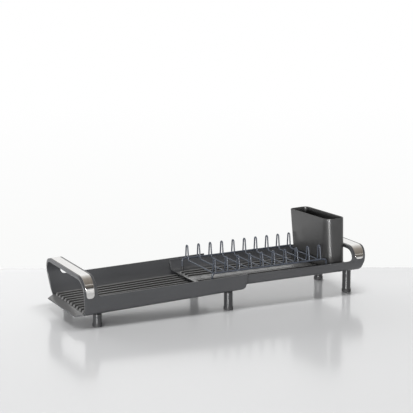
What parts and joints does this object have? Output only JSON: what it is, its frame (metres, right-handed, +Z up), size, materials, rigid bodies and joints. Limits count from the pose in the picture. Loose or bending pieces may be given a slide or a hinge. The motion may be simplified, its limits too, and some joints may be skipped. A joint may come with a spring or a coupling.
{
  "type": "expandable dish drainer",
  "caption": "Dish drainer of two nesting moulded trays with hoop handles, pulled apart on round legs, with a wire plate rack and a cutlery holder.",
  "frame": {"origin": "on the worktop, under the middle of the drainer at its full length", "axes": "+X towards the sliding tray and its cutlery holder, -X towards the pouring lip, +Z up"},
  "size_m": [0.5436, 0.1826, 0.1383],
  "materials": {
    "tray_plastic": "charcoal, fine satin",
    "holder_plastic": "charcoal, smooth satin",
    "handle_steel": "brushed stainless steel",
    "coated_wire": "blue-grey coated wire, satin",
    "foot_rubber": "dark matt rubber"
  },
  "bodies": {
    "main_frame": {"main_tray": "tray_plastic", "main_handle_strip": "handle_steel", "front_lip_end_leg": "tray_plastic", "front_lip_end_foot": "foot_rubber", "front_middle_leg": "tray_plastic", "front_middle_foot": "foot_rubber", "rear_lip_end_leg": "tray_plastic", "rear_lip_end_foot": "foot_rubber", "rear_middle_leg": "tray_plastic", "rear_middle_foot": "foot_rubber"},
    "sliding_frame": {"sliding_tray": "tray_plastic", "sliding_handle_strip": "handle_steel", "front_sliding_leg": "tray_plastic", "front_sliding_foot": "foot_rubber", "rear_sliding_leg": "tray_plastic", "rear_sliding_foot": "foot_rubber"},
    "plate_rack": {"front_rail": "coated_wire", "rear_rail": "coated_wire", "plate_wire_1": "coated_wire", "plate_wire_2": "coated_wire", "plate_wire_3": "coated_wire", "plate_wire_4": "coated_wire", "plate_wire_5": "coated_wire", "plate_wire_6": "coated_wire", "plate_wire_7": "coated_wire", "plate_wire_8": "coated_wire", "plate_wire_9": "coated_wire", "plate_wire_10": "coated_wire", "rack_foot_front_left": "foot_rubber", "rack_foot_front_right": "foot_rubber", "rack_foot_rear_left": "foot_rubber", "rack_foot_rear_right": "foot_rubber"},
    "holder": {"cutlery_holder": "holder_plastic"}
  },
  "joints": [
    {"name": "tray_slide", "type": "slide", "parent": "main_frame", "child": "sliding_frame", "axis": [-1, 0, 0], "range_m": [0, 0.2]},
    {"name": "rack_lift", "type": "slide", "parent": "sliding_frame", "child": "plate_rack", "axis": [-0.014, 0, 0.9999], "range_m": [0, 0.1]},
    {"name": "holder_lift", "type": "slide", "parent": "sliding_frame", "child": "holder", "axis": [-0.014, 0, 0.9999], "range_m": [0, 0.1]}
  ]
}
